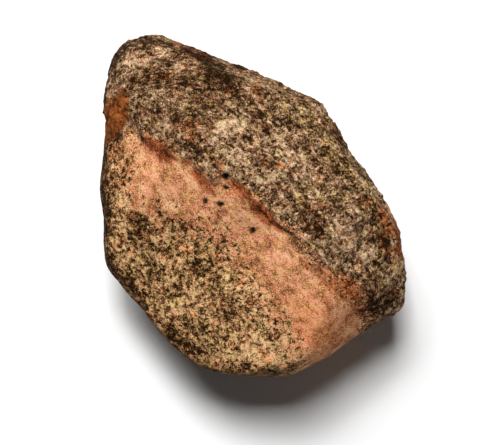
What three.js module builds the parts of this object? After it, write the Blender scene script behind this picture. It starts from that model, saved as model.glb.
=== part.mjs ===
// A fist-sized, angular, weathered stone of the kind kept as a meteorite specimen, on its broad underside.
// One large face is a broken surface of salmon-coloured rock, which slopes down to the left and the front.
// A dark, coarse-grained weathered face slopes away behind it and to the right, and stands over it in a low,
// chipped ledge.
//
// Millimetres, +Z up, origin under the middle of the stone on the surface that it lies on.
// Compass angles are measured from +X towards +Y, and rises are measured upwards from level.

import * as THREE from "three";
import { mergeVertices } from "three/addons/utils/BufferGeometryUtils.js";
import { ImprovedNoise } from "three/addons/math/ImprovedNoise.js";

// The point inside the stone from which every reach is measured, above the resting surface.
const HEART = new THREE.Vector3(0.1, 1, 23);
// Each edge of the starting icosahedron is cut into this many pieces plus one.
const MESH_DETAIL = 20;
// How sharply neighbouring faces meet: a higher number gives a crisper stone.
const CRISPNESS = 56;

// The stone's outline from above, one row for each straight run of its edge, going round from the back.
// Each run has a wall above and below its outermost line, which is `height` above the resting surface.
// `above` and `below` say how far those walls lean in from upright, in degrees. Reaches are from the heart.
const OUTLINE_RUNS = [
  { run: "back", compass: 67, reach: 33.0, height: 17, above: 16, below: 30 },
  { run: "right flank", compass: 33.5, reach: 30.3, height: 18, above: 12, below: 34 },
  { run: "right end", compass: 8, reach: 38.3, height: 27, above: 12, below: 20 },
  { run: "front right", compass: 301.5, reach: 46.6, height: 24, above: 14, below: 24 },
  { run: "front", compass: 271, reach: 47.7, height: 22, above: 10, below: 34 },
  { run: "front left corner", compass: 242, reach: 49.3, height: 26, above: 14, below: 26 },
  { run: "front left", compass: 222.5, reach: 43.2, height: 26, above: 12, below: 24 },
  { run: "front left, upper", compass: 211, reach: 46.6, height: 24, above: 12, below: 22 },
  { run: "left", compass: 179, reach: 41.9, height: 26, above: 10, below: 16 },
  { run: "left, upper", compass: 168.5, reach: 46.3, height: 23, above: 14, below: 24 },
  { run: "back left corner", compass: 136, reach: 57.3, height: 20, above: 18, below: 34 },
  { run: "back left", compass: 102.5, reach: 51.0, height: 18, above: 20, below: 38 },
];

// The faces that close the stone above and below its outline.
const BROAD_FACES = [
  { face: "smooth salmon band", compass: 233, rise: 70, reach: 22.9 },
  { face: "speckled salmon face", compass: 222, rise: 62, reach: 25.4 },
  { face: "crest", compass: 45, rise: 80, reach: 24.4 },
  { face: "weathered face", compass: 50, rise: 62, reach: 24.0 },
  { face: "weathered shoulder", compass: 55, rise: 40, reach: 28.1 },
  { face: "knob at the back left", compass: 118, rise: 58, reach: 34.5 },
  { face: "left end's upper face", compass: 175, rise: 55, reach: 31.5 },
  { face: "rusty hollow", compass: 166, rise: 36, reach: 39.6 },
  { face: "right end's upper face", compass: 352, rise: 55, reach: 30.5 },
  { face: "dark corner face", compass: 318, rise: 42, reach: 38.2 },
  { face: "resting face", compass: 0, rise: -90, reach: 24.3 },
  { face: "underside, left", compass: 190, rise: -58, reach: 27.5 },
  { face: "underside, back", compass: 80, rise: -62, reach: 26.5 },
  { face: "underside, front", compass: 290, rise: -60, reach: 30.5 },
  { face: "underside, right", compass: 20, rise: -58, reach: 28.0 },
];

// The line, seen from above, along which the weathered face breaks off over the salmon face, from the left
// to the right.
const LEDGE_LINE = [
  [-41, 22],
  [-33, 20.5],
  [-28, 16.5],
  [-24, 13.2],
  [-16.5, 11.2],
  [-13.5, 7.2],
  [-10.5, 5.4],
  [-7, 7.6],
  [-5, 5.4],
  [-1, 1.4],
  [5.4, -4.6],
  [9.3, -7.2],
  [15.9, -15.7],
  [19.1, -19.6],
  [23.8, -21],
  [26.6, -25.6],
  [28.5, -35],
];
const LEDGE = { height: 2, softness: 1, fadesBelow: 23, fadeOver: 7 };
// Towards the right end the ledge sinks to this share of its height, between these two places along X.
const LEDGE_SINKS = { to: 0.4, from: 2, until: 22 };
// The ledge's edge is chipped: it wanders by up to this much to either side of its line.
const CHIPPING = { spacing: 5.5, reach: 1.8 };

// Shallow scoops left by flakes that came away. `at` is a point near the surface, in millimetres.
const SCOOPS = [
  { at: [-33, 21, 38], radius: 8, depth: 1.6 },
  { at: [-10, 40, 24], radius: 5, depth: 0.9 },
  { at: [-25, 4, 36], radius: 9, depth: 0.8 },
  { at: [-3, -13, 42], radius: 10, depth: 0.9 },
  { at: [16, -25, 33], radius: 10, depth: 0.8 },
  { at: [13, 4, 44], radius: 8, depth: 0.8 },
  { at: [-12, 26, 43], radius: 8, depth: 0.9 },
  { at: [26, -14, 38], radius: 7, depth: 0.9 },
  { at: [24, 18, 7], radius: 9, depth: 1.2 },
  { at: [-28, -26, 12], radius: 9, depth: 1.2 },
  { at: [8, -42, 10], radius: 11, depth: 1.4 },
  { at: [11, 30, 15], radius: 8, depth: 1.4 },
  { at: [-14, 36, 8], radius: 9, depth: 1.2 },
  { at: [-36, 4, 12], radius: 9, depth: 1.1 },
  { at: [34, -22, 10], radius: 8, depth: 1.0 },
  { at: [39, -13, 26], radius: 7, depth: 1.1 },
  { at: [35, -32, 23], radius: 7, depth: 1.0 },
  { at: [-20, 45, 19], radius: 6, depth: 1.5 },
];

// Waves and lumps of weathering: how far apart, how high, and whether only the weathered side has them.
const WEATHERING = [
  { spacing: 19, height: 1.5, weatheredOnly: false },
  { spacing: 8.5, height: 0.75, weatheredOnly: false },
  { spacing: 4.6, height: 0.45, weatheredOnly: true },
];

const noise = new ImprovedNoise();

// A unit vector from a compass angle and a rise.
function heading(compass, rise) {
  const level = THREE.MathUtils.degToRad(compass);
  const up = THREE.MathUtils.degToRad(rise);
  return new THREE.Vector3(
    Math.cos(up) * Math.cos(level),
    Math.cos(up) * Math.sin(level),
    Math.sin(up),
  );
}

// A wall through an outline run's outermost line, which leans in by `lean` degrees above or below it.
function wall({ compass, reach, height }, rise) {
  const normal = heading(compass, rise);
  const outermost = heading(compass, 0).multiplyScalar(reach);
  outermost.z = height - HEART.z;
  return { normal, reach: normal.dot(outermost) };
}

function stoneFaces() {
  const walls = OUTLINE_RUNS.flatMap((run) => [wall(run, run.above), wall(run, -run.below)]);
  const broad = BROAD_FACES.map(({ compass, rise, reach }) => ({
    normal: heading(compass, rise),
    reach,
  }));
  return [...walls, ...broad];
}

// How far the rounded block of flat faces reaches from the heart in a direction.
function blockReach(faces, direction) {
  let sum = 0;
  for (const { normal, reach } of faces) {
    const towards = normal.dot(direction) / reach;
    if (towards > 0) sum += towards ** CRISPNESS;
  }
  return sum ** (-1 / CRISPNESS);
}

// Distance from the chipped ledge seen from above: positive on the weathered side, behind and to the right.
function beyondLedge(x, y) {
  let nearest = Infinity;
  let side = 1;
  for (let i = 1; i < LEDGE_LINE.length; i++) {
    const [ax, ay] = LEDGE_LINE[i - 1];
    const [bx, by] = LEDGE_LINE[i];
    const [runX, runY] = [bx - ax, by - ay];
    const along = ((x - ax) * runX + (y - ay) * runY) / (runX ** 2 + runY ** 2);
    const t = THREE.MathUtils.clamp(along, 0, 1);
    const distance = Math.hypot(x - ax - t * runX, y - ay - t * runY);
    if (distance < nearest) {
      nearest = distance;
      side = Math.sign(runX * (y - ay) - runY * (x - ax)) || 1;
    }
  }
  return side * nearest + CHIPPING.reach * noise.noise(x / CHIPPING.spacing, y / CHIPPING.spacing, 0.5);
}

// How far the weathered layer stands up over the block, fading out down the stone's sides.
function ledgeLift(point) {
  const beyond = beyondLedge(point.x, point.y);
  const step = THREE.MathUtils.smoothstep(beyond, -LEDGE.softness, LEDGE.softness);
  const fade = THREE.MathUtils.smoothstep(
    point.z,
    LEDGE.fadesBelow,
    LEDGE.fadesBelow + LEDGE.fadeOver,
  );
  const sunk = THREE.MathUtils.smoothstep(point.x, LEDGE_SINKS.from, LEDGE_SINKS.until);
  const height = LEDGE.height * THREE.MathUtils.lerp(1, LEDGE_SINKS.to, sunk);
  return height * (step - 0.5) * fade;
}

function scoopDepth(point) {
  let depth = 0;
  for (const scoop of SCOOPS) {
    const near = point.distanceTo(new THREE.Vector3(...scoop.at)) / scoop.radius;
    if (near < 1) depth += scoop.depth * (1 - near ** 2) ** 2;
  }
  return depth;
}

function weathering(point) {
  const weathered = THREE.MathUtils.smoothstep(beyondLedge(point.x, point.y), -2, 2);
  let lift = 0;
  for (const { spacing, height, weatheredOnly } of WEATHERING) {
    const wave = noise.noise(point.x / spacing, point.y / spacing, point.z / spacing);
    lift += height * wave * (weatheredOnly ? weathered : 1);
  }
  return lift;
}

// Points of a closed ball are moved out to the stone's surface. Those that would pass below the resting
// surface stop on it, which gives the stone the flat patch that it lies on.
function stoneGeometry() {
  const ball = new THREE.IcosahedronGeometry(1, MESH_DETAIL);
  ball.deleteAttribute("normal");
  ball.deleteAttribute("uv");
  const geometry = mergeVertices(ball, 1e-5);
  const faces = stoneFaces();
  const positions = geometry.getAttribute("position");
  const direction = new THREE.Vector3();
  const point = new THREE.Vector3();
  for (let i = 0; i < positions.count; i++) {
    direction.fromBufferAttribute(positions, i).normalize();
    const block = blockReach(faces, direction);
    point.copy(direction).multiplyScalar(block).add(HEART);
    const reach = block + ledgeLift(point) + weathering(point) - scoopDepth(point);
    const toFloor = direction.z < 0 ? -HEART.z / direction.z : Infinity;
    point.copy(direction).multiplyScalar(Math.min(reach, toFloor)).add(HEART);
    if (reach >= toFloor) point.z = 0;
    positions.setXYZ(i, point.x, point.y, point.z);
  }
  geometry.computeBoundingBox();
  const middle = geometry.boundingBox.getCenter(new THREE.Vector3());
  geometry.translate(-middle.x, -middle.y, 0);
  return geometry;
}

function makeStone() {
  const geometry = stoneGeometry();
  geometry.computeVertexNormals();
  const rock = new THREE.MeshStandardMaterial({ color: 0x8a6544, roughness: 0.82, metalness: 0 });
  const stone = new THREE.Mesh(geometry, rock);
  stone.name = "meteorite_stone";
  return stone;
}

const meteorite = new THREE.Group();
meteorite.add(makeStone());

export default meteorite;
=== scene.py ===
"""A weathered stone specimen on a pale floor, under soft studio light.

The stone is one piece. Its mesh is a finer copy of the frame's solid, with the relief of its grains, chips and pits,
and its rock is a procedural material. Lengths in the rock's own tables are millimetres, seen from above.
"""

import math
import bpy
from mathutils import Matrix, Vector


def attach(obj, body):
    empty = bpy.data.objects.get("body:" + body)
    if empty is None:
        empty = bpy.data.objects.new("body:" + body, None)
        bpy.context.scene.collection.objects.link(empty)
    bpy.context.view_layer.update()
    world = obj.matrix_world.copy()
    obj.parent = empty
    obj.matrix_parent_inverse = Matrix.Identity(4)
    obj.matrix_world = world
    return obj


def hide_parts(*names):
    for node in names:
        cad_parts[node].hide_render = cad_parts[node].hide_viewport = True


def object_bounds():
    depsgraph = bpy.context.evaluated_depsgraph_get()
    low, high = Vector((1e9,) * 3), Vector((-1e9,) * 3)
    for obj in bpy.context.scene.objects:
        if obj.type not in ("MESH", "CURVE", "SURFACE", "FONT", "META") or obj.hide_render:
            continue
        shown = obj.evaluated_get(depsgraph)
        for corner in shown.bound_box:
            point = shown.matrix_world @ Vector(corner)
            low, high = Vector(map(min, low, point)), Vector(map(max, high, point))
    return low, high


bl_info = {
    "name": "Weathered Stone Specimen",
    "version": (1, 0, 0),
    "blender": (4, 5, 0),
    "location": "3D View > Sidebar > Stone",
    "description": "Builds an angular weathered stone, and the floor, lights and camera that show it",
    "category": "Add Mesh",
}

import bmesh
import bpy
import numpy as np
from mathutils import Vector, noise

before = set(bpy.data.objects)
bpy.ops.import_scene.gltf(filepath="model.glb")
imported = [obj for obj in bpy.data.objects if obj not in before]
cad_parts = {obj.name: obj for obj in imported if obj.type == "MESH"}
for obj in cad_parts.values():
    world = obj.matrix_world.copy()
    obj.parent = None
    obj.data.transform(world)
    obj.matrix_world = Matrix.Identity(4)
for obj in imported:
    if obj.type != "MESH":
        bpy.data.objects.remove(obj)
SOLID_BOX = [list(corner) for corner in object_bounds()]
SOLID = "meteorite_stone"
MM = 0.001
# Points closer together than this are one point, and points closer than this to the floor lie on it.
TOUCH = 0.001 * MM

# Places of the panels of light and the point that they are turned to, in metres.
KEY_PLACE = (-0.10, 0.99, 1.80)
SIDE_PLACE = (-0.56, 1.14, 1.62)
LIGHTS_AIM = (0, 0, 0.02)
# The camera looks straight down on this point, and the stone's outline is widest at about this height.
CAMERA_OVER = (-0.7 * MM, -4.8 * MM)
OUTLINE_HEIGHT = 22 * MM
# Half the floor's width, and how far the floor lies under the stone.
FLOOR_HALF = 2.0
FLOOR_GAP = 0.1 * MM

# The point that the tables below are measured from. They are in millimetres, seen from above.
TABLES_START = (0.4, 0.1)
# The line along which the dark weathered layer breaks off over the salmon face, from the left to the right.
LEDGE_LINE = [
    (-41, 22), (-33, 20.5), (-28, 16.5), (-24, 13.2), (-16.5, 11.2), (-13.5, 7.2), (-10.5, 5.4), (-7, 7.6),
    (-5, 5.4), (-1, 1.4), (5.4, -4.6), (9.3, -7.2), (15.9, -15.7), (19.1, -19.6), (23.8, -21), (26.6, -25.6),
    (28.5, -35),
]
# The line between the smooth salmon band and the speckled rest of the broken face, the same way round.
SPECKLE_LINE = [
    (-34, 17.4), (-33, 4), (-31, -0.5), (-26.5, -0.5), (-17.5, -4.7), (-7.5, -10), (-4.3, -17), (2.2, -23),
    (8.4, -30.6), (12, -45),
]
# The level direction that the painted flank shade turns away from: the flanks that face the other way are painted
# darkest.
FLANK_SHADE_AWAY_FROM = (0.94, 0.34)
# The knob at the back left: its middle, how many times longer it is along X, and where it starts and ends to fade.
KNOB_MIDDLE = (-19, 31)
KNOB_TIMES_LONGER = 1.3
KNOB_FADE = (7, 12)
# Patches of the rock: middle x and y, half length and half width, turn in degrees, strength.
PATCHES = {
    # Weathered grains stained with iron, and warmer salmon rock.
    "rust": [
        (35.1, -8.5, 9.0, 3.0, -76, 1.0),
        (22.7, -21.5, 6.5, 3.6, -40, 0.8),
        (12.4, -2.8, 5.0, 2.5, -50, 0.5),
        (-15.9, 19.0, 6.0, 3.5, -20, 0.45),
        (-23.2, 33.1, 5.0, 1.1, 0, 0.7),
        (6.5, 9.9, 1.8, 1.3, 0, 1.0),
        (1.6, 28.2, 4.0, 1.5, -60, 0.5),
        (-17.3, 41.2, 7.0, 2.0, -28, 0.8),
        (-9.7, 10.7, 4.0, 1.5, -40, 0.5),
        (30.0, -0.1, 3.0, 2.0, 0, 0.8),
        (20.5, 20.7, 3.2, 2.6, -40, 0.5),
        (-1.1, 1.8, 6.0, 1.2, -45, 0.8),
        (14.6, -31.7, 9.7, 6.5, -48, 0.9),
        (25.9, -29.0, 4.3, 2.7, 20, 0.8),
    ],
    # Greenish grains.
    "olive": [
        (24.6, 10.7, 15.0, 6.0, -58, 1.0),
        (9.7, 25.5, 9.0, 4.0, -30, 0.8),
        (34.0, -17.7, 6.0, 3.5, -80, 0.8),
        (-7.8, 33.6, 7.0, 3.0, -30, 0.5),
        (-30.8, -12.3, 7.0, 5.0, -60, 0.6),
        (-5.1, -21.7, 6.0, 4.0, -60, 0.5),
        (-28.1, 1.2, 4.0, 4.0, 0, 0.5),
        (11.3, 1.8, 3.0, 2.0, -80, 1.0),
    ],
    # The smooth rusty skin of a facet at the left and of a strip at the right rim.
    "coat": [
        (-37.3, 22.5, 6.5, 3.5, 66, 1.0),
        (38.3, -8.5, 5.9, 1.1, -82, 0.5),
    ],
    # Deep red stains on the broken face, mostly at the ledge's foot.
    "red": [
        (-28.6, 18.2, 1.9, 0.8, -30, 0.6),
        (-24.6, 14.2, 5.4, 2.2, -37, 1.0),
        (-17.8, 10.7, 1.6, 0.8, -20, 0.8),
        (-13.2, 5.3, 4.3, 1.4, -51, 0.9),
        (-3.8, 3.6, 3.2, 1.6, -46, 1.0),
        (2.2, -2.3, 4.6, 1.9, -45, 1.0),
        (6.2, -6.1, 1.9, 1.1, -50, 0.8),
        (-6.2, 2.3, 1.9, 0.8, -20, 0.4),
        (18.4, -19.3, 4.9, 1.6, -45, 0.6),
        (24.8, -21.7, 3.5, 2.2, -40, 0.75),
        (18.9, -25.8, 3.2, 1.1, -60, 0.35),
        (13.0, -15.5, 2.7, 0.8, -50, 0.5),
        (27.3, -25.0, 2.4, 1.6, -50, 0.6),
    ],
    # Places where weathered and broken rock are mixed grain by grain.
    "mixed": [
        (11.3, -9.6, 6.0, 2.2, -48, 0.7),
        (17.8, -17.1, 7.0, 3.0, -50, 1.0),
        (24.6, -23.1, 7.0, 4.0, -40, 1.0),
        (28.6, -27.1, 6.0, 3.5, -60, 1.0),
        (-32.7, 19.6, 4.0, 2.0, -15, 0.6),
    ],
    # Lighter rock, and painted light where the rows lie on the low front of the broken face.
    "pale": [
        (-5.9, 19.6, 5.9, 4.6, -45, 0.8),
        (7.8, 12.8, 6.5, 3.5, -50, 1.0),
        (22.4, -6.3, 5.5, 3.5, -10, 1.0),
        (-23.2, 27.7, 7.0, 2.4, 5, 0.9),
        (-24.0, 39.8, 2.4, 1.4, 0, 0.9),
        (-17.3, 36.3, 4.5, 1.8, -20, 0.9),
        (-30.8, 37.9, 3.0, 1.5, 0, 0.6),
        (-14.6, 30.1, 3.0, 1.6, 0, 0.5),
        (24.6, -15.5, 4.0, 2.5, -50, 0.5),
        (3.0, -37.9, 8.0, 4.0, 10, 1.0),
        (-1.1, -28.5, 5.0, 3.0, 0, 0.6),
        (-30.8, 1.8, 5.0, 4.0, 0, 0.6),
        (-27.5, 10.7, 4.0, 3.0, -30, 0.8),
        (7.8, -12.8, 7.0, 2.6, -55, 0.6),
        (13.2, -37.9, 4.0, 4.0, 0, 0.6),
        (-1.6, 6.1, 3.8, 1.1, -28, 0.8),
        (11.1, 2.3, 4.1, 1.1, -68, 0.9),
        (5.7, -31.7, 3.5, 2.7, 0, 0.9),
        (17.8, -36.6, 2.7, 2.2, 30, 0.6),
        (28.1, -5.0, 1.9, 1.1, -20, 0.8),
        (-18.4, 35.2, 2.4, 1.6, -20, 0.8),
        (-27.3, 37.4, 3.2, 1.4, -10, 0.7),
        (-12.7, 25.0, 2.4, 2.2, 0, 0.5),
        (3.2, 31.5, 1.6, 1.6, 0, 0.6),
        (35.4, -16.1, 1.6, 1.6, 0, 0.6),
        (25.4, -29.6, 1.9, 1.6, -30, 0.6),
        (14.0, -29.0, 7.0, 5.4, 40, 0.9),
        (26.5, -11.7, 6.5, 4.3, -50, 0.6),
        (23.8, -27.9, 4.1, 2.4, 40, 1.0),
        (13.2, -38.7, 9.2, 2.2, 32, 1.0),
        (4.3, -30.6, 3.8, 3.2, 0, 0.8),
        (17.3, -35.2, 3.2, 2.7, 30, 0.8),
        (-17.8, 34.7, 2.7, 1.9, -20, 0.9),
        (-25.9, 36.9, 3.2, 1.6, -10, 0.8),
        (-20.0, 25.5, 5.4, 1.6, 0, 0.9),
        (-21.9, 44.4, 4.1, 1.1, -10, 0.9),
        (-3.8, 12.0, 4.3, 2.4, -20, 1.0),
        (1.1, 6.1, 4.3, 1.9, -30, 1.0),
        (11.3, 6.6, 2.7, 2.2, 80, 0.5),
        (17.8, -4.7, 3.2, 1.9, 0, 0.7),
        (30.0, 3.9, 3.8, 1.6, -60, 0.6),
        (37.3, -14.4, 5.9, 1.6, -80, 0.9),
        (-21.3, -0.1, 3.8, 5.4, 0, 0.5),
        (-39.4, 17.4, 1.6, 5.4, 0, 0.3),
    ],
    # Darker rock, and painted shade where the rows lie along the left and back rims.
    "dark": [
        (33.5, -25.8, 7.0, 3.0, 25, 1.0),
        (28.1, -25.2, 3.5, 3.0, 0, 0.9),
        (15.1, -4.2, 4.5, 3.4, -60, 1.0),
        (21.9, 3.1, 3.0, 1.6, 20, 0.7),
        (-26.7, 43.9, 7.0, 2.2, 0, 1.0),
        (-15.4, 40.4, 6.0, 2.0, -30, 1.0),
        (-5.1, 29.6, 5.0, 2.2, -60, 0.9),
        (-10.5, 35.0, 4.0, 2.4, -40, 0.7),
        (7.3, 20.9, 3.8, 1.9, -40, 0.9),
        (2.2, 20.7, 4.5, 1.6, -65, 0.7),
        (-14.6, 13.4, 4.0, 1.6, -20, 0.5),
        (-33.2, 29.6, 5.0, 1.6, 70, 1.0),
        (33.5, -8.0, 7.0, 2.6, -68, 0.35),
        (-13.2, 25.0, 5.0, 1.2, -15, 0.6),
        (10.5, -9.6, 4.0, 2.0, -45, 0.5),
        (-40.0, 3.4, 17.0, 2.3, 90, 1.0),
        (-34.6, -20.4, 10.0, 2.1, -52, 1.0),
        (-19.4, -36.0, 8.0, 2.1, -45, 1.0),
        (-15.9, -17.1, 4.0, 2.5, 0, 0.7),
        (-30.8, -6.3, 4.0, 3.0, 0, 0.6),
        (-3.8, -27.1, 3.4, 2.4, 0, 0.6),
        (-20.0, -31.7, 3.0, 2.0, 0, 0.5),
        (3.8, -33.9, 2.5, 1.8, 0, 0.5),
        (-18.6, -6.3, 4.0, 2.0, 0, 0.5),
        (-36.5, 41.2, 4.0, 1.5, 50, 0.6),
        (29.7, -24.2, 3.2, 2.2, -50, 0.8),
        (20.5, 1.2, 6.0, 1.5, -50, 0.4),
        (-13.8, 12.0, 1.9, 1.4, -20, 0.7),
        (-3.0, 2.6, 2.4, 1.1, -48, 0.45),
        (-6.8, -18.5, 2.7, 1.6, -65, 0.7),
        (18.6, 8.0, 2.4, 1.4, -20, 0.6),
        (13.8, 14.7, 3.0, 1.1, -75, 0.6),
        (0.3, 24.2, 4.3, 1.6, -75, 0.6),
        (-8.1, 25.0, 3.2, 1.1, -30, 0.5),
        (-36.2, 39.6, 4.3, 1.6, 62, 1.0),
        (-30.2, 41.7, 2.7, 1.4, -10, 0.6),
        (-40.8, 23.4, 7.0, 1.1, 84, 1.0),
        (18.4, 10.7, 8.1, 4.6, -55, 0.25),
        (2.2, -2.3, 2.4, 0.8, -45, 0.4),
        (-1.6, 37.7, 6.8, 1.6, -22, 0.9),
        (23.2, 17.1, 3.5, 1.6, -62, 0.7),
        (11.6, 28.8, 4.3, 1.4, -50, 0.6),
        (9.5, 19.6, 3.5, 1.1, 0, 0.8),
        (-1.4, 18.2, 1.6, 2.7, 0, 0.6),
        (-7.6, 22.3, 2.2, 1.6, 0, 0.5),
        (7.0, -0.1, 1.6, 1.6, 0, 0.6),
        (-23.8, 11.2, 3.2, 1.1, -20, 0.4),
        (-5.9, -16.3, 1.4, 1.6, 0, 0.6),
        (-2.4, -23.1, 2.2, 1.4, 0, 0.5),
        (-33.5, 43.1, 5.4, 1.9, 45, 1.0),
        (-24.0, 42.5, 4.3, 1.1, -15, 0.7),
    ],
    # Smooth rock with more dark specks than the rest.
    "peppered": [
        (-36.7, 10.7, 10.0, 3.0, 90, 0.7),
        (-30.8, 17.4, 4.5, 2.0, -30, 1.0),
        (-8.6, -2.3, 1.8, 1.4, 0, 1.0),
        (-0.3, -7.2, 1.7, 1.4, 0, 1.0),
        (8.9, -13.6, 7.0, 4.0, -50, 0.3),
        (15.1, -25.8, 8.0, 4.0, -60, 0.4),
        (23.8, -23.9, 6.5, 3.5, -48, 0.9),
        (26.5, -29.0, 3.8, 2.2, 30, 0.6),
    ],
}
# Single dark pits on the broken face, painted near black as shade in them: x and y of the middle, radius, depth.
PITS = [
    (-35.6, 17.7, 1.2, 0.7), (-7.3, 6.5, 0.95, 0.6), (-7.3, 4.0, 0.85, 0.5), (-12.7, 0.4, 0.95, 0.6),
    (-8.9, -0.2, 1.15, 0.5), (-0.4, -7.0, 0.9, 0.3),
]


class StoneShape(bpy.types.PropertyGroup):
    """Sizes of the stone's relief."""

    splits: bpy.props.IntProperty(
        name="Splits", description="How many times each face of the solid is split in four", default=2, min=0, max=2
    )
    grain_size: bpy.props.FloatProperty(
        name="Grain Size", description="Distance between mineral grains", default=0.8 * MM, unit="LENGTH"
    )
    lump_height: bpy.props.FloatProperty(
        name="Lump Height", description="Height of the weathered side's lumps", default=0.45 * MM, unit="LENGTH"
    )
    grain_height: bpy.props.FloatProperty(
        name="Grain Height", description="How far weathered grains stand out", default=0.3 * MM, unit="LENGTH"
    )
    chip_height: bpy.props.FloatProperty(
        name="Chip Height", description="Step left where flakes broke off the ledge", default=0.5 * MM, unit="LENGTH"
    )
    groove_height: bpy.props.FloatProperty(
        name="Groove Height", description="Height of the layers' edges on the knob", default=0.22 * MM, unit="LENGTH"
    )


class StoneColours(bpy.types.PropertyGroup):
    """Colours that the rock is mixed from."""

    salmon: bpy.props.FloatVectorProperty(
        name="Salmon", description="Fresh rock of the smooth band", subtype="COLOR", default=(0.66, 0.30, 0.14)
    )
    tan: bpy.props.FloatVectorProperty(
        name="Tan", description="Middle grains of the weathered rock", subtype="COLOR", default=(0.30, 0.176, 0.092)
    )
    cream: bpy.props.FloatVectorProperty(
        name="Cream", description="Lightest weathered grains", subtype="COLOR", default=(0.85, 0.64, 0.42)
    )
    brown: bpy.props.FloatVectorProperty(
        name="Brown", description="Dull grains of the weathered rock", subtype="COLOR", default=(0.150, 0.074, 0.030)
    )
    dark: bpy.props.FloatVectorProperty(
        name="Dark", description="Dark grains and specks", subtype="COLOR", default=(0.016, 0.008, 0.003)
    )
    rust: bpy.props.FloatVectorProperty(
        name="Rust", description="Iron stain", subtype="COLOR", default=(0.30, 0.085, 0.020)
    )


class StoneStudio(bpy.types.PropertyGroup):
    """Light and camera."""

    key_power: bpy.props.FloatProperty(
        name="Key Power", description="Power of the two large lights together", default=62.0, unit="POWER"
    )
    key_share: bpy.props.FloatProperty(
        name="Key Share", description="Share of that power that the key has", default=0.7, min=0.0, max=1.0
    )
    sky: bpy.props.FloatProperty(name="Sky", description="Strength of the even light all round", default=0.05)
    lens: bpy.props.FloatProperty(
        name="Lens", description="Focal length of the camera", default=135.0, unit="CAMERA"
    )
    view_width: bpy.props.FloatProperty(
        name="View Width", description="Width that the picture spans at the stone's outline", default=135.0 * MM,
        unit="LENGTH",
    )


# Shapes

def side_of_line(points, line):
    """Distance of each point from a line seen from above, positive behind it and to the right, in millimetres."""
    line = np.array(line, float)
    nearest = np.full(len(points), np.inf)
    side = np.ones(len(points))
    for start, end in zip(line[:-1], line[1:]):
        run = end - start
        from_start = points - start
        along = np.clip(from_start @ run / (run @ run), 0, 1)
        distance = np.linalg.norm(from_start - along[:, None] * run, axis=1)
        turn = run[0] * from_start[:, 1] - run[1] * from_start[:, 0]
        closer = distance < nearest
        side[closer] = np.where(turn[closer] < 0, -1, 1)
        nearest[closer] = distance[closer]
    return side * nearest


def ease(values, low, high):
    """0 below low, 1 above high, and a smooth rise between."""
    t = np.clip((values - low) / (high - low), 0, 1)
    return t * t * (3 - 2 * t)


def noise_at(points, size, shift=0.0):
    """Smooth noise from -1 to 1, with waves of about that size."""
    return np.array([noise.noise(Vector(p)) for p in points / size + shift])


def grain_bumps(points, size, shift=0.0):
    """Rounded bumps of about that size: 1 on top of each and 0 in the gaps between them."""
    gap_shade = np.empty(len(points))
    for i, p in enumerate(points / size + shift):
        near = noise.voronoi(Vector(p))[0]
        gap_shade[i] = near[1] - near[0]
    return ease(gap_shade, 0.0, 0.55)


def patch_strength(points, patches):
    """How much each point lies in any of the patches, from 0 to 1."""
    strength = np.zeros(len(points))
    for x, y, length, width, turn, most in patches:
        angle = math.radians(turn)
        dx, dy = points[:, 0] - x, points[:, 1] - y
        along = (dx * math.cos(angle) + dy * math.sin(angle)) / length
        across = (dy * math.cos(angle) - dx * math.sin(angle)) / width
        strength = np.maximum(strength, most * (1 - ease(np.hypot(along, across), 0.45, 1.35)))
    return strength


def fine_solid(splits):
    """The frame's solid, welded, split and smoothed, as a bmesh that still rests on its flat patch."""
    bm = bmesh.new()
    bm.from_mesh(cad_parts[SOLID].data)
    bmesh.ops.remove_doubles(bm, verts=bm.verts, dist=TOUCH)
    for _ in range(splits):
        bmesh.ops.subdivide_edges(bm, edges=bm.edges, cuts=1, use_grid_fill=True)
        resting = [v for v in bm.verts if v.co.z < TOUCH]
        bmesh.ops.smooth_vert(
            bm, verts=bm.verts, factor=0.5, use_axis_x=True, use_axis_y=True, use_axis_z=True
        )
        for v in resting:
            v.co.z = 0.0
    bmesh.ops.recalc_face_normals(bm, faces=bm.faces)
    bm.normal_update()
    return bm


def stone_masks(points, normals):
    """What the rock is at each point, and where painted shade darkens it, as named values for the relief and the
    material.
    """
    above = points[:, :2] - TABLES_START
    steep = 1 - ease(normals[:, 2], 0.1, 0.6)
    # Down the flanks the borders wander, so that none of them is a straight band.
    sway = np.stack([noise_at(points, 6.0, 20.0), noise_at(points, 6.0, 27.0)], axis=1)
    swayed = above + 3.5 * steep[:, None] * sway
    masks = {
        "ledge_mm": side_of_line(swayed, LEDGE_LINE),
        "speckle_mm": -side_of_line(swayed, SPECKLE_LINE),
    }
    facing_up = ease(points[:, 2] + 5 * sway[:, 0], 13, 20)
    for name, patches in PATCHES.items():
        masks[name] = patch_strength(swayed, patches) * facing_up
    from_knob = (above - KNOB_MIDDLE) / (KNOB_TIMES_LONGER, 1)
    masks["knob"] = (1 - ease(np.hypot(*from_knob.T), *KNOB_FADE)) * facing_up
    # Near the floor and on the flanks that face left the weathered rock covers the flanks. The flank shade is painted
    # shade: it darkens the rock near the floor, a little on steep sides, and most on the leaning flanks that face
    # left, less on the rusty skin.
    wander = 2.5 * noise_at(points, 7.0, 3.0)
    low = 1 - ease(points[:, 2] + wander, 9, 15)
    leftward = ease(-(normals[:, :2] @ FLANK_SHADE_AWAY_FROM), -0.25, 0.4)
    leaning = 1 - ease(normals[:, 2], 0.2, 0.85)
    masks["flank"] = np.maximum(low, steep * leftward)
    masks["flank_shade"] = np.maximum.reduce([low, 0.2 * steep, leaning * leftward * (1 - 0.8 * masks["coat"])])
    # How deep each point lies in a pit, for the painted shade there.
    masks["pit"] = pit_depths(points, [(x, y, radius, 1.0) for x, y, radius, _ in PITS])
    return masks


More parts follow.
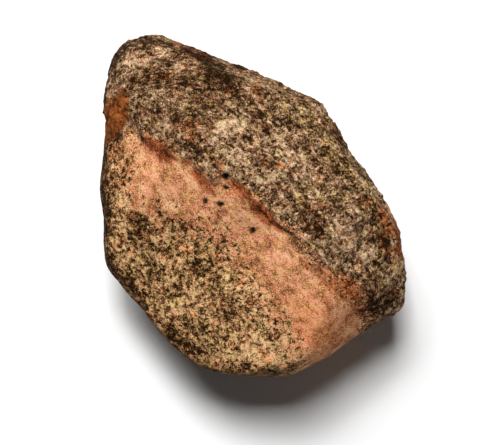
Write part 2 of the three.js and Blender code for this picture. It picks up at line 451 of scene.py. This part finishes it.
def pit_depths(points, pits):
    """How deep each point lies in a pit, by the pits' own depths."""
    depths = np.zeros(len(points))
    rough = 0.45 * noise_at(points, 0.9, 6.0)
    above = points[:, :2] - TABLES_START
    for x, y, radius, depth in pits:
        across = np.hypot(above[:, 0] - x, above[:, 1] - y) / radius + rough
        depths = np.maximum(depths, depth * (1 - ease(across, 0.35, 1.2)) * (points[:, 2] > 20))
    return depths


def stone_relief(points, masks, shape):
    """How far each point stands out of the smoothed solid, in millimetres."""
    # The weathered layer ends in a chipped step along the ledge.
    chips = 1.6 * noise_at(points, 2.4, 5.0) + 1.1 * noise_at(points, 5.0, 8.0)
    weathered = ease(masks["ledge_mm"] + chips, -0.35, 0.35)
    weathered = np.maximum(weathered, 1 - ease(points[:, 2] + noise_at(points, 4.0), 10, 14))
    near_ledge = 1 - ease(np.abs(masks["ledge_mm"]), 2.5, 5.5)
    chip_step = shape.chip_height / MM * near_ledge * (weathered - ease(masks["ledge_mm"], -2.5, 2.5))
    # Lumps and grains stand out fully on the weathered rock and faintly on the broken face.
    lumps = shape.lump_height / MM * (noise_at(points, 3.4, 11.0) + 0.5 * noise_at(points, 1.7, 2.0))
    grains = shape.grain_height / MM * (grain_bumps(points, 1.9) + 0.6 * grain_bumps(points, 1.15, 7.0) - 0.9)
    rough = weathered * (lumps + grains) + (1 - weathered) * (0.25 * lumps + 0.15 * grains)
    # The knob has the edges of long, thin layers, and the speckled rock has small hollows.
    layers = noise_at(points * np.array([0.12, 1.0, 0.45]), 1.0, 4.0)
    grooves = shape.groove_height / MM * masks["knob"] * weathered * layers
    speckled = ease(masks["speckle_mm"], -2, 3) * (1 - weathered)
    hollows = 0.22 * speckled * ease(noise_at(points, 1.3, 9.0), 0.05, 0.45)
    relief = rough + chip_step + grooves - hollows
    return relief - pit_depths(points, PITS)


def inside_box(points):
    """The points, kept inside the solid's box."""
    low, high = (np.array(corner) / MM for corner in SOLID_BOX)
    return np.clip(points, low, high)


def stone_mesh(shape):
    """The stone's mesh, with its masks as attributes for the material."""
    bm = fine_solid(shape.splits)
    points = np.array([v.co for v in bm.verts]) / MM
    normals = np.array([v.normal for v in bm.verts])
    masks = stone_masks(points, normals)
    relief = stone_relief(points, masks, shape)
    relief *= ease(points[:, 2], 0.0, 2.0)
    moved = inside_box(points + normals * relief[:, None])
    for v, place in zip(bm.verts, moved):
        v.co = Vector(place) * MM
    mesh = bpy.data.meshes.new("stone")
    bm.to_mesh(mesh)
    bm.free()
    mesh.shade_smooth()
    # Painted shade in sunk places: how far each point lies below the smoothed solid, full at 0.5 mm.
    masks["hollow"] = np.clip(-relief / 0.5, 0, 1)
    for name, values in masks.items():
        attribute = mesh.attributes.new(name, "FLOAT", "POINT")
        attribute.data.foreach_set("value", values.astype(np.float32))
    return mesh


# Materials

class RockNodes:
    """Short ways to add and join the rock's shader nodes, with sizes in millimetres."""

    def __init__(self, material):
        self.tree = material.node_tree
        coordinates = self.add("TexCoord")
        in_mm = self.add("VectorMath", operation="SCALE")
        in_mm.inputs["Scale"].default_value = 1 / MM
        self.tree.links.new(coordinates.outputs["Object"], in_mm.inputs[0])
        self.place = in_mm.outputs[0]

    def add(self, kind, **settings):
        node = self.tree.nodes.new("ShaderNode" + kind)
        for name, value in settings.items():
            setattr(node, name, value)
        return node

    def feed(self, socket, value):
        if isinstance(value, bpy.types.NodeSocket):
            self.tree.links.new(value, socket)
        else:
            socket.default_value = value

    def value(self, name):
        """A mask of the mesh."""
        return self.add("Attribute", attribute_name=name).outputs["Fac"]

    def math(self, operation, a, b=0.0, c=0.0):
        node = self.add("Math", operation=operation)
        for socket, value in zip(node.inputs, (a, b, c)):
            self.feed(socket, value)
        return node.outputs[0]

    def sum(self, *parts):
        """The sum of (value, weight) pairs. A pair whose value is 1 adds its weight."""
        total = 0.0
        for value, weight in parts:
            total = self.math("MULTIPLY_ADD", value, weight, total)
        return total

    def rise(self, value, low, high, to_low=0.0, to_high=1.0):
        """A smooth rise from one value to another while the input goes from low to high."""
        node = self.add("MapRange", interpolation_type="SMOOTHSTEP")
        for socket, part in zip(node.inputs, (value, low, high, to_low, to_high)):
            self.feed(socket, part)
        return node.outputs[0]

    def vector(self, operation, a, b):
        node = self.add("VectorMath", operation=operation)
        self.feed(node.inputs[0], a)
        self.feed(node.inputs[1], b)
        return node.outputs[0]

    def noise(self, size, detail=2.0, roughness=0.5, place=None, shift=0.0):
        node = self.add("TexNoise")
        moved = self.vector("ADD", place or self.place, (shift, shift, shift)) if shift else place or self.place
        self.feed(node.inputs["Vector"], moved)
        node.inputs["Scale"].default_value = 1 / size
        node.inputs["Detail"].default_value = detail
        node.inputs["Roughness"].default_value = roughness
        return node

    def warped(self, size, reach):
        """Places pushed about by up to that reach, so that grains get ragged edges."""
        push = self.noise(size, 2.0).outputs["Color"]
        centred = self.vector("SUBTRACT", push, (0.5, 0.5, 0.5))
        scaled = self.vector("MULTIPLY", centred, (reach, reach, reach))
        return self.vector("ADD", self.place, scaled)

    def stretched(self, turn, times_longer):
        """Places squeezed along one level direction, so that patterns run longer that way."""
        turned = self.add("Mapping", vector_type="POINT")
        self.feed(turned.inputs["Vector"], self.place)
        turned.inputs["Rotation"].default_value = (0, 0, math.radians(-turn))
        return self.vector("MULTIPLY", turned.outputs[0], (1 / times_longer, 1, 1))

    def cells(self, size, place, shift=0.0):
        """Three random values for each grain of that size."""
        node = self.add("TexVoronoi", feature="F1")
        moved = self.vector("ADD", place, (shift, shift, shift)) if shift else place
        self.feed(node.inputs["Vector"], moved)
        node.inputs["Scale"].default_value = 1 / size
        split = self.add("SeparateColor")
        self.feed(split.inputs[0], node.outputs["Color"])
        return split.outputs

    def ramp(self, value, stops):
        node = self.add("ValToRGB")
        elements = node.color_ramp.elements
        while len(elements) < len(stops):
            elements.new(0.5)
        for element, (position, colour) in zip(elements, stops):
            element.position = position
            element.color = (*colour[:3], 1)
        self.feed(node.inputs[0], value)
        return node.outputs[0]

    def blend(self, amount, a, b):
        """A number part of the way from one to another."""
        node = self.add("Mix", data_type="FLOAT")
        self.feed(node.inputs[0], amount)
        self.feed(node.inputs[2], a)
        self.feed(node.inputs[3], b)
        return node.outputs[0]

    def mix(self, amount, a, b, blend="MIX"):
        node = self.add("Mix", data_type="RGBA", blend_type=blend)
        self.feed(node.inputs[0], amount)
        self.feed(node.inputs[6], a if isinstance(a, bpy.types.NodeSocket) else (*a[:3], 1))
        self.feed(node.inputs[7], b if isinstance(b, bpy.types.NodeSocket) else (*b[:3], 1))
        return node.outputs[2]


def times(colour, factor):
    """A lighter or darker copy of a colour."""
    return tuple(min(channel * factor, 1.0) for channel in colour)


def rock_pattern(nodes, grain):
    """The patterns that every part of the rock shares, each from 0 to 1 or close to it.

    Each rock adds them up with its own weights, and the last part of such a sum brings its middle to about 0.5,
    the middle of the colours that it picks from.
    """
    place = nodes.warped(grain * 0.9, grain * 1.3)
    clump_place = nodes.warped(grain * 2.4, grain * 2.6)
    return {
        "grains": nodes.cells(grain, place),
        "specks": nodes.cells(grain * 0.55, place, shift=31.0),
        "fine": nodes.noise(grain * 0.38, 1.0, 0.7, shift=12.0).outputs["Fac"],
        "lumps": nodes.cells(grain * 1.7, clump_place, shift=23.0),
        "clumps": nodes.noise(grain * 1.7, 2.0, 0.6, place=clump_place, shift=44.0).outputs["Fac"],
        "drift": nodes.noise(4.2, 2.0, 0.6, shift=50.0).outputs["Fac"],
        "streaks": nodes.noise(1.5, 2.0, 0.6, place=nodes.stretched(-48, 3.0), shift=61.0).outputs["Fac"],
        "hue": nodes.noise(2.6, 3.0, 0.6, shift=80.0).outputs["Fac"],
        "warmth": nodes.noise(3.4, 2.0, 0.65, shift=120.0).outputs["Fac"],
    }


def weathered_rock(nodes, pattern, colours):
    """Colour and height of the dark, coarse-grained weathered rock, layered on the knob."""
    layers = nodes.noise(0.9, 3.0, 0.6, place=nodes.stretched(-7, 3.6), shift=70.0).outputs["Fac"]
    bands = nodes.blend(nodes.value("knob"), pattern["streaks"], layers)
    grains = nodes.blend(nodes.value("knob"), 0.60, 0.26)
    layering = nodes.math("MULTIPLY", nodes.value("knob"), layers)
    light = nodes.sum(
        (nodes.math("MULTIPLY", pattern["grains"]["Red"], grains), 1.0), (pattern["specks"]["Red"], 0.38),
        (pattern["fine"], 1.60), (pattern["lumps"]["Red"], 0.24), (pattern["clumps"], 0.42), (bands, 1.00),
        (pattern["drift"], 0.85), (nodes.value("pale"), 0.22), (nodes.value("dark"), -0.34),
        (nodes.value("rust"), -0.05), (layering, 0.7), (nodes.value("knob"), -0.40), (nodes.value("olive"), -0.05),
        (1.0, -2.14),
    )
    earth = nodes.ramp(light, [
        (0.02, colours.dark), (0.16, times(colours.brown, 0.33)), (0.32, colours.brown),
        (0.50, colours.tan), (0.72, (0.51, 0.335, 0.200)), (0.95, colours.cream),
    ])
    hue = nodes.sum((pattern["hue"], 1.0), (pattern["grains"]["Green"], 0.08), (nodes.value("olive"), -0.10))
    tint = nodes.ramp(hue, [
        (0.38, (0.86, 0.84, 0.58)), (0.47, (0.79, 0.80, 0.70)), (0.54, (0.80, 0.79, 0.80)),
        (0.62, (0.88, 0.77, 0.76)), (0.72, (0.92, 0.72, 0.56)),
    ])
    rusty = nodes.sum(
        (pattern["warmth"], 1.0), (pattern["specks"]["Green"], 0.10), (nodes.value("rust"), 0.32),
        (nodes.value("red"), 0.15), (nodes.value("knob"), -0.03), (nodes.value("pale"), -0.08),
    )
    tint = nodes.mix(nodes.rise(rusty, 0.62, 0.90), tint, (0.95, 0.53, 0.30))
    height = nodes.sum((pattern["fine"], 1.0), (pattern["clumps"], 0.6), (pattern["grains"]["Red"], 0.12))
    return nodes.mix(1.0, earth, tint, "MULTIPLY"), height


def rust_coat(nodes, pattern, colours):
    """Colour of the smooth rusty skin on a facet and along the right rim."""
    light = nodes.sum(
        (pattern["fine"], 1.5), (pattern["clumps"], 2.0), (pattern["drift"], 1.8), (pattern["grains"]["Red"], 0.20),
        (1.0, -2.25),
    )
    return nodes.ramp(light, [
        (0.15, times(colours.rust, 0.2)), (0.42, times(colours.rust, 0.5)), (0.62, times(colours.rust, 0.75)),
        (0.90, times(colours.rust, 1.3)),
    ])


def smooth_rock(nodes, pattern, colours):
    """Colour of the fine salmon rock, mottled with pink and dull tan and stained red in places."""
    soft = nodes.noise(1.1, 3.0, 0.6, place=nodes.stretched(-50, 2.0), shift=18.0).outputs["Fac"]
    light = nodes.sum(
        (pattern["fine"], 2.2), (soft, 1.3), (pattern["drift"], 1.6), (pattern["specks"]["Red"], 0.14),
        (pattern["clumps"], 0.4), (nodes.value("pale"), 0.18), (nodes.value("dark"), -0.35),
        (nodes.value("red"), -0.08), (1.0, -2.31),
    )
    salmon = nodes.ramp(light, [
        (0.05, times(colours.salmon, 0.25)), (0.30, times(colours.salmon, 0.62)), (0.50, colours.salmon),
        (0.72, (0.80, 0.41, 0.215)), (0.95, (0.92, 0.57, 0.36)),
    ])
    tint = nodes.ramp(pattern["hue"], [
        (0.36, (0.88, 0.88, 0.70)), (0.47, (0.89, 0.84, 0.75)), (0.54, (0.90, 0.80, 0.78)),
        (0.66, (0.93, 0.76, 0.74)),
    ])
    colour = nodes.mix(1.0, salmon, tint, "MULTIPLY")
    colour = nodes.mix(nodes.value("rust"), colour, (1.0, 0.84, 0.74), "MULTIPLY")
    crowding = nodes.sum(
        (pattern["specks"]["Red"], 1.0), (pattern["warmth"], 1.3), (nodes.value("speckle_mm"), 0.02),
        (nodes.value("peppered"), 0.25),
    )
    colour = nodes.mix(nodes.rise(crowding, 1.44, 1.66), colour, (0.38, 0.32, 0.24), "MULTIPLY")
    stain = nodes.sum(
        (nodes.value("red"), 1.5), (pattern["fine"], 1.1), (pattern["clumps"], 1.8), (pattern["streaks"], 1.2),
        (pattern["specks"]["Blue"], 0.5), (1.0, -2.40),
    )
    grainy = nodes.sum((light, 1.0), (pattern["grains"]["Red"], 0.30), (pattern["specks"]["Red"], 0.16), (1.0, -0.23))
    red = nodes.ramp(grainy, [
        (0.05, times(colours.rust, 0.2)), (0.28, (0.16, 0.040, 0.012)), (0.50, (0.36, 0.092, 0.029)),
        (0.85, (0.56, 0.185, 0.080)),
    ])
    return nodes.mix(nodes.rise(stain, 0.15, 0.70), colour, red)


def speckled_rock(nodes, pattern, colours):
    """Colour of the broken face's coarser rock: tan and salmon grains with clumps of dark ones."""
    light = nodes.sum(
        (pattern["grains"]["Blue"], 0.38), (pattern["specks"]["Red"], 0.36), (pattern["fine"], 1.50),
        (pattern["clumps"], 1.75), (pattern["drift"], 1.1), (nodes.value("dark"), -0.30),
        (nodes.value("pale"), 0.20), (1.0, -2.12),
    )
    earth = nodes.ramp(light, [
        (0.10, colours.dark), (0.21, (0.058, 0.026, 0.008)), (0.35, (0.17, 0.090, 0.038)),
        (0.50, (0.35, 0.215, 0.105)), (0.68, (0.58, 0.375, 0.195)), (0.92, (0.88, 0.62, 0.36)),
    ])
    hue = nodes.sum(
        (pattern["hue"], 1.5), (pattern["grains"]["Green"], 0.06), (nodes.value("olive"), -0.08), (1.0, -0.23),
    )
    tint = nodes.ramp(hue, [
        (0.38, (0.92, 0.88, 0.66)), (0.49, (0.97, 0.91, 0.78)), (0.57, (1.0, 0.89, 0.82)),
        (0.66, (1.0, 0.80, 0.70)), (0.76, (1.0, 0.68, 0.50)),
    ])
    return nodes.mix(1.0, earth, tint, "MULTIPLY")


def broken_rock(nodes, pattern, colours):
    """Colour of the broken face: smooth rock, which passes into speckled rock clump by clump."""
    speckling = nodes.sum(
        (nodes.value("speckle_mm"), 1.0), (pattern["drift"], 12.0), (pattern["specks"]["Blue"], 5.0),
        (pattern["clumps"], -22.0), (1.0, 2.6),
    )
    return nodes.mix(
        nodes.rise(speckling, -2.0, 2.0), smooth_rock(nodes, pattern, colours), speckled_rock(nodes, pattern, colours)
    )


def weathered_share(nodes, pattern):
    """1 on the weathered rock and 0 on the broken face, with a ragged border along the ledge."""
    straying = pattern["specks"]["Blue"]
    ragged = nodes.sum((pattern["clumps"], 5.0), (pattern["streaks"], 4.0), (straying, 1.6), (1.0, -5.3))
    raggedness = nodes.sum((nodes.value("mixed"), 2.2), (1.0, 1.3))
    strewn = nodes.math("MULTIPLY", nodes.sum((straying, 4.0), (1.0, -2.0)), nodes.value("mixed"))
    border = nodes.sum(
        (nodes.value("ledge_mm"), 1.0), (nodes.math("MULTIPLY", ragged, raggedness), 1.0), (strewn, 1.0),
        (nodes.value("flank"), 6.0), (nodes.value("red"), -2.2),
    )
    softness = nodes.sum((nodes.value("mixed"), 0.6), (1.0, 0.45))
    return nodes.rise(nodes.math("DIVIDE", border, softness), -1.0, 1.0)


def rock_material(colours, grain):
    """The stone's material: the weathered and the broken rock, the rusty skin, and painted shade on the flanks, in
    sunk places and in the pits.
    """
    material = bpy.data.materials.new("rock")
    material.use_nodes = True
    nodes = RockNodes(material)
    shader = material.node_tree.nodes["Principled BSDF"]
    pattern = rock_pattern(nodes, grain)
    weathered, height = weathered_rock(nodes, pattern, colours)
    is_weathered = weathered_share(nodes, pattern)
    colour = nodes.mix(is_weathered, broken_rock(nodes, pattern, colours), weathered)
    coated = nodes.sum((nodes.value("coat"), 1.0), (pattern["clumps"], 1.4), (pattern["fine"], 0.5), (1.0, -0.95))
    colour = nodes.mix(nodes.rise(coated, 0.15, 0.55), colour, rust_coat(nodes, pattern, colours))
    # Painted shade: the flank shade and the sunk places of the relief darken the colour toward dark brown, the sunk
    # places most on the weathered rock.
    gap_shade = nodes.math("MULTIPLY", nodes.value("hollow"), nodes.rise(is_weathered, 0.0, 1.0, 0.25, 1.0))
    shade = nodes.sum((nodes.value("flank_shade"), 0.6), (gap_shade, 0.35))
    colour = nodes.mix(nodes.rise(shade, 0.0, 1.0), colour, (0.24, 0.18, 0.13), "MULTIPLY")
    # Painted shade: the pits are painted near black.
    colour = nodes.mix(nodes.value("pit"), colour, times(colours.dark, 0.6))
    nodes.feed(shader.inputs["Base Color"], colour)
    bump = nodes.add("Bump")
    bump.inputs["Strength"].default_value = 0.7
    bump.inputs["Distance"].default_value = 0.35 * MM
    nodes.feed(bump.inputs["Height"], nodes.math("MULTIPLY", height, nodes.rise(is_weathered, 0.0, 1.0, 0.35, 1.0)))
    nodes.feed(shader.inputs["Normal"], bump.outputs[0])
    shader.inputs["Roughness"].default_value = 0.85
    shader.inputs["Specular IOR Level"].default_value = 0.03
    return material


def floor_material():
    """Plain matt white paper."""
    material = bpy.data.materials.new("paper")
    material.use_nodes = True
    shader = material.node_tree.nodes["Principled BSDF"]
    shader.inputs["Base Color"].default_value = (0.9, 0.9, 0.9, 1)
    shader.inputs["Roughness"].default_value = 0.9
    shader.inputs["Specular IOR Level"].default_value = 0.1
    return material


class STONE_OT_build_stone(bpy.types.Operator):
    """Build the stone with its relief and its rock."""

    bl_idname = "specimen.build_stone"
    bl_label = "Build Stone"

    def execute(self, context):
        scene = context.scene
        stone = bpy.data.objects.new("stone", stone_mesh(scene.stone_shape))
        scene.collection.objects.link(stone)
        stone.data.materials.append(rock_material(scene.stone_colours, scene.stone_shape.grain_size / MM))
        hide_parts(SOLID)
        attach(stone, "root")
        return {"FINISHED"}


def make_floor(scene):
    """A square of paper under the stone."""
    corners = [(-1, -1), (1, -1), (1, 1), (-1, 1)]
    mesh = bpy.data.meshes.new("floor")
    mesh.from_pydata([(x * FLOOR_HALF, y * FLOOR_HALF, -FLOOR_GAP) for x, y in corners], [], [(0, 1, 2, 3)])
    mesh.materials.append(floor_material())
    floor = bpy.data.objects.new("floor", mesh)
    scene.collection.objects.link(floor)
    return floor


def add_light(name, place, width, height, power):
    """A large light panel at a place, turned towards the stone."""
    light = bpy.data.lights.new(name, "AREA")
    light.shape = "RECTANGLE"
    light.size = width
    light.size_y = height
    light.energy = power
    lamp = bpy.data.objects.new(name, light)
    lamp.location = place
    lamp.rotation_euler = (Vector(LIGHTS_AIM) - Vector(place)).to_track_quat("-Z", "Y").to_euler()
    bpy.context.scene.collection.objects.link(lamp)


class STONE_OT_set_stage(bpy.types.Operator):
    """Lay the pale floor, and set the lights and the camera."""

    bl_idname = "specimen.set_stage"
    bl_label = "Set Stage"

    def execute(self, context):
        scene = context.scene
        studio = scene.stone_studio
        make_floor(scene)
        add_light("key", KEY_PLACE, 0.5, 0.8, studio.key_power * studio.key_share)
        add_light("side light", SIDE_PLACE, 0.6, 0.6, studio.key_power * (1 - studio.key_share))
        scene.world = bpy.data.worlds.new("sky")
        scene.world.use_nodes = True
        sky = scene.world.node_tree.nodes["Background"]
        sky.inputs["Color"].default_value = (1, 1, 1, 1)
        sky.inputs["Strength"].default_value = studio.sky
        camera_data = bpy.data.cameras.new("camera")
        camera_data.lens = studio.lens
        distance = studio.view_width * studio.lens / camera_data.sensor_width
        camera = bpy.data.objects.new("camera", camera_data)
        camera.location = (*CAMERA_OVER, OUTLINE_HEIGHT + distance)
        scene.collection.objects.link(camera)
        scene.camera = camera
        scene.view_settings.view_transform = "Standard"
        return {"FINISHED"}


class STONE_PT_panel(bpy.types.Panel):
    """Sizes, colours and steps of the stone."""

    bl_idname = "STONE_PT_panel"
    bl_label = "Weathered Stone"
    bl_space_type = "VIEW_3D"
    bl_region_type = "UI"
    bl_category = "Stone"

    def draw(self, context):
        for title, group in (
            ("Shape", context.scene.stone_shape),
            ("Colours", context.scene.stone_colours),
            ("Studio", context.scene.stone_studio),
        ):
            box = self.layout.box()
            box.label(text=title)
            for name in group.__annotations__:
                box.prop(group, name)
        self.layout.operator(STONE_OT_build_stone.bl_idname)
        self.layout.operator(STONE_OT_set_stage.bl_idname)


CLASSES = (
    StoneShape, StoneColours, StoneStudio, STONE_OT_build_stone, STONE_OT_set_stage, STONE_PT_panel,
)


def register():
    for cls in CLASSES:
        bpy.utils.register_class(cls)
    bpy.types.Scene.stone_shape = bpy.props.PointerProperty(type=StoneShape)
    bpy.types.Scene.stone_colours = bpy.props.PointerProperty(type=StoneColours)
    bpy.types.Scene.stone_studio = bpy.props.PointerProperty(type=StoneStudio)


def unregister():
    del bpy.types.Scene.stone_studio
    del bpy.types.Scene.stone_colours
    del bpy.types.Scene.stone_shape
    for cls in reversed(CLASSES):
        bpy.utils.unregister_class(cls)


def main():
    register()
    bpy.ops.specimen.build_stone()
    bpy.ops.specimen.set_stage()
    bpy.context.view_layer.update()


if __name__ == "__main__":
    main()
